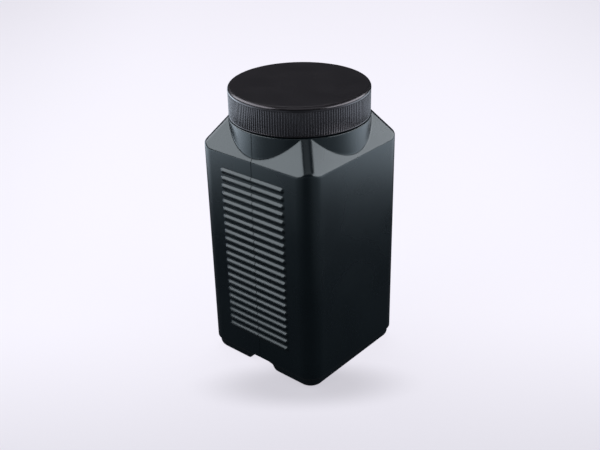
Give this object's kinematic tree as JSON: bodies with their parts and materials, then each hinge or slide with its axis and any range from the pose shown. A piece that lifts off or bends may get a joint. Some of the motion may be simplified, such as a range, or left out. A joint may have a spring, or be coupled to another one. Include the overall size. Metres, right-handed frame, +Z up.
{
  "type": "square plastic jar with screw cap",
  "caption": "Tall square wide-mouth plastic jar in black with grip ribs on two faces, a sloping shoulder and a finely knurled screw cap.",
  "frame": {"origin": "middle of the base, on the surface that the jar stands on", "axes": "+Z up through the neck, grip ribs on the -X and +X faces, plain label faces -Y and +Y"},
  "size_m": [0.1154, 0.112, 0.2299],
  "materials": {
    "black_body_plastic": "satin blow-moulded polyethylene with a faint orange-peel surface",
    "black_cap_plastic": "fine matte moulded polypropylene",
    "white_foam": "closed-cell foam with a smooth skin"
  },
  "bodies": {
    "jar": {"jar_body": "black_body_plastic"},
    "liner": {"sealing_liner": "white_foam"},
    "cap": {"screw_cap": "black_cap_plastic"}
  },
  "joints": [
    {"name": "cap_lift", "type": "slide", "parent": "jar", "child": "liner", "axis": [0, 0, 1], "range_m": [0, 0.024]},
    {"name": "cap_turn", "type": "hinge", "parent": "liner", "child": "cap", "pos_m": [0, 0, 0.22], "axis": [0, 0, 1], "range_deg": [0, 1440]}
  ],
  "couplings": [
    {"joint": "cap_lift", "follows": "cap_turn", "m_per_rad": 0.00095493}
  ]
}
